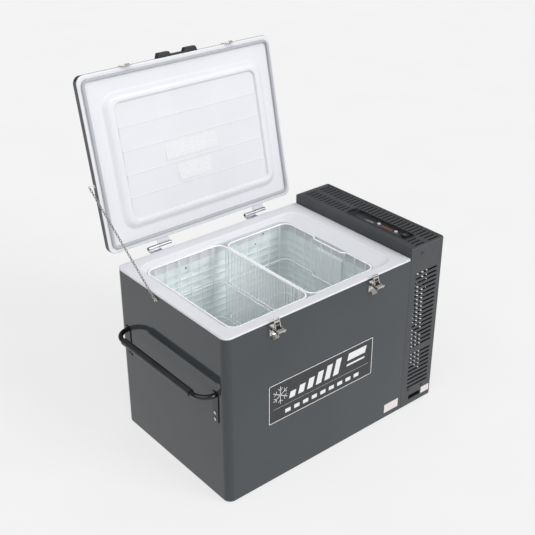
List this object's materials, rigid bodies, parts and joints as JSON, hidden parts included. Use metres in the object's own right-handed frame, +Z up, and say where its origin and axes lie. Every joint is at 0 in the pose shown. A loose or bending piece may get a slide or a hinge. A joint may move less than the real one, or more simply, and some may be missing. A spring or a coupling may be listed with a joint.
{
  "type": "compressor cooler fridge",
  "caption": "Chest cooler fridge with a hinged lid on a chain stay, toggle latches, lift-out wire baskets, carry handles and a louvred machine bay.",
  "frame": {"origin": "centre of the footprint, on the floor under the rubber feet", "axes": "+X to the right along the length towards the machine bay, +Y to the back where the lid hinges, +Z up"},
  "size_m": [0.898, 0.6762, 1.0368],
  "materials": {
    "steel_paint": "gloss",
    "steel_bare": "satin",
    "bright_nickel": "polished",
    "white_moulding": "satin",
    "liner_plastic": "satin",
    "foam": "matte",
    "sheet_aluminium": "satin",
    "black_rubber": "matte",
    "gasket_rubber": "matte",
    "badge_film": "satin",
    "label_film": "satin",
    "black_paint": "gloss",
    "cover_plastic": "matte",
    "panel_plastic": "satin",
    "display_glass": "gloss",
    "button_plastic": "satin",
    "black_plastic": "satin",
    "board_green": "satin",
    "machine_black": "satin",
    "copper": "satin",
    "basket_coating": "gloss"
  },
  "bodies": {
    "cabinet": {"outer_cabinet": "steel_paint", "base_pan": "steel_bare", "bulkhead": "sheet_aluminium", "foam_insulation": "foam", "inner_liner": "liner_plastic", "evaporator_sheet": "sheet_aluminium", "sensor_cover": "liner_plastic", "top_rim": "white_moulding", "rubber_feet": "black_rubber", "foot_bushes": "steel_bare", "front_badge": "badge_film", "rating_labels": "label_film", "hinge_leaves_cabinet": "steel_bare", "hinge_pins": "steel_bare", "hinge_screws": "steel_bare", "chain_anchor": "bright_nickel", "latch_bases": "bright_nickel", "latch_screws": "steel_bare", "handle_bar_left": "black_paint", "handle_bar_right": "black_paint", "handle_grip_left": "black_rubber", "handle_grip_right": "black_rubber", "handle_rivets": "steel_bare", "bay_cover": "cover_plastic", "cover_screws": "steel_bare", "control_panel": "panel_plastic", "display_window": "display_glass", "control_board": "board_green", "power_socket": "black_plastic", "compressor": "machine_black", "compressor_mounts": "black_rubber", "condenser_coil": "copper", "condenser_wires": "steel_bare", "fan_shroud": "black_plastic", "fan_motor": "black_plastic", "refrigerant_pipes": "copper"},
    "lid": {"lid_outer_skin": "steel_paint", "lid_foam": "foam", "lid_liner": "white_moulding", "lid_gasket": "gasket_rubber", "lid_handle": "black_plastic", "lid_stickers": "label_film", "latch_keepers": "bright_nickel", "lid_chain_stud": "bright_nickel", "hinge_leaves_lid": "steel_bare"},
    "chain_lower_run": {"chain_lower": "bright_nickel"},
    "chain_turn_first": {"chain_turn_a": "bright_nickel"},
    "chain_turn_second": {"chain_turn_b": "bright_nickel"},
    "chain_upper_run": {"chain_upper": "bright_nickel"},
    "lever_left": {"latch_lever_left": "bright_nickel"},
    "lever_right": {"latch_lever_right": "bright_nickel"},
    "loop_left": {"latch_loop_left": "bright_nickel"},
    "loop_right": {"latch_loop_right": "bright_nickel"},
    "button_up_cap": {"button_up": "button_plastic"},
    "button_down_cap": {"button_down": "button_plastic"},
    "switch_rocker": {"power_switch": "black_plastic"},
    "fan": {"fan_rotor": "black_plastic"},
    "basket_left_body": {"basket_left": "basket_coating"},
    "basket_right_body": {"basket_right": "basket_coating"}
  },
  "joints": [
    {"name": "lid_hinge", "type": "hinge", "parent": "cabinet", "child": "lid", "pos_m": [0, 0.263, 0.528], "axis": [1, 0, 0], "range_deg": [0, 102.3]},
    {"name": "chain_lower_joint", "type": "hinge", "parent": "cabinet", "child": "chain_lower_run", "pos_m": [-0.3998, 0.047, 0.505], "axis": [1, 0, 0], "range_deg": [-134.23, 0.6]},
    {"name": "chain_turn_first_joint", "type": "hinge", "parent": "chain_lower_run", "child": "chain_turn_first", "pos_m": [-0.4047, 0.16184, 0.60101], "axis": [1, 0, 0], "range_deg": [-0.6, 39.34]},
    {"name": "chain_turn_second_joint", "type": "hinge", "parent": "chain_upper_run", "child": "chain_turn_second", "pos_m": [-0.40522, 0.17413, 0.61128], "axis": [1, 0, 0], "range_deg": [-72.5, 0.6]},
    {"name": "chain_upper_joint", "type": "hinge", "parent": "lid", "child": "chain_upper_run", "pos_m": [-0.4115, 0.32129, 0.73432], "axis": [1, 0, 0], "range_deg": [-52.9, 0.6]},
    {"name": "latch_lever_left_hinge", "type": "hinge", "parent": "cabinet", "child": "lever_left", "pos_m": [-0.242, -0.253, 0.503], "axis": [1, 0, 0], "range_deg": [-15, 75]},
    {"name": "latch_loop_left_hinge", "type": "hinge", "parent": "lever_left", "child": "loop_left", "pos_m": [-0.242, -0.26388, 0.50112], "axis": [1, 0, 0], "range_deg": [-66.72, 13.82]},
    {"name": "latch_lever_right_hinge", "type": "hinge", "parent": "cabinet", "child": "lever_right", "pos_m": [0.106, -0.253, 0.503], "axis": [1, 0, 0], "range_deg": [-15, 75]},
    {"name": "latch_loop_right_hinge", "type": "hinge", "parent": "lever_right", "child": "loop_right", "pos_m": [0.106, -0.26388, 0.50112], "axis": [1, 0, 0], "range_deg": [-66.72, 13.82]},
    {"name": "button_up_press", "type": "slide", "parent": "cabinet", "child": "button_up_cap", "axis": [0, 0, -1], "range_m": [0, 0.0012], "stiffness_N_per_m": 250},
    {"name": "button_down_press", "type": "slide", "parent": "cabinet", "child": "button_down_cap", "axis": [0, 0, -1], "range_m": [0, 0.0012], "stiffness_N_per_m": 250},
    {"name": "power_switch_rock", "type": "hinge", "parent": "cabinet", "child": "switch_rocker", "pos_m": [0.317, -0.1635, 0.544], "axis": [1, 0, 0], "range_deg": [0, 10]},
    {"name": "fan_spin", "type": "hinge", "parent": "cabinet", "child": "fan", "pos_m": [0.327, -0.08, 0.25], "axis": [0, 1, 0], "continuous": true},
    {"name": "basket_left_lift", "type": "slide", "parent": "cabinet", "child": "basket_left_body", "axis": [0, 0, -1], "range_m": [-0.4, 0]},
    {"name": "basket_right_lift", "type": "slide", "parent": "cabinet", "child": "basket_right_body", "axis": [0, 0, -1], "range_m": [-0.4, 0]}
  ],
  "couplings": [
    {"joint": "chain_lower_joint", "follows": "lid_hinge", "ratio": -1.3063},
    {"joint": "chain_turn_first_joint", "follows": "lid_hinge", "ratio": 0.37867},
    {"joint": "chain_turn_second_joint", "follows": "lid_hinge", "ratio": -0.70281},
    {"joint": "chain_upper_joint", "follows": "lid_hinge", "ratio": -0.51124},
    {"joint": "latch_loop_left_hinge", "follows": "latch_lever_left_hinge", "ratio": -0.88165},
    {"joint": "latch_loop_right_hinge", "follows": "latch_lever_right_hinge", "ratio": -0.88165}
  ]
}
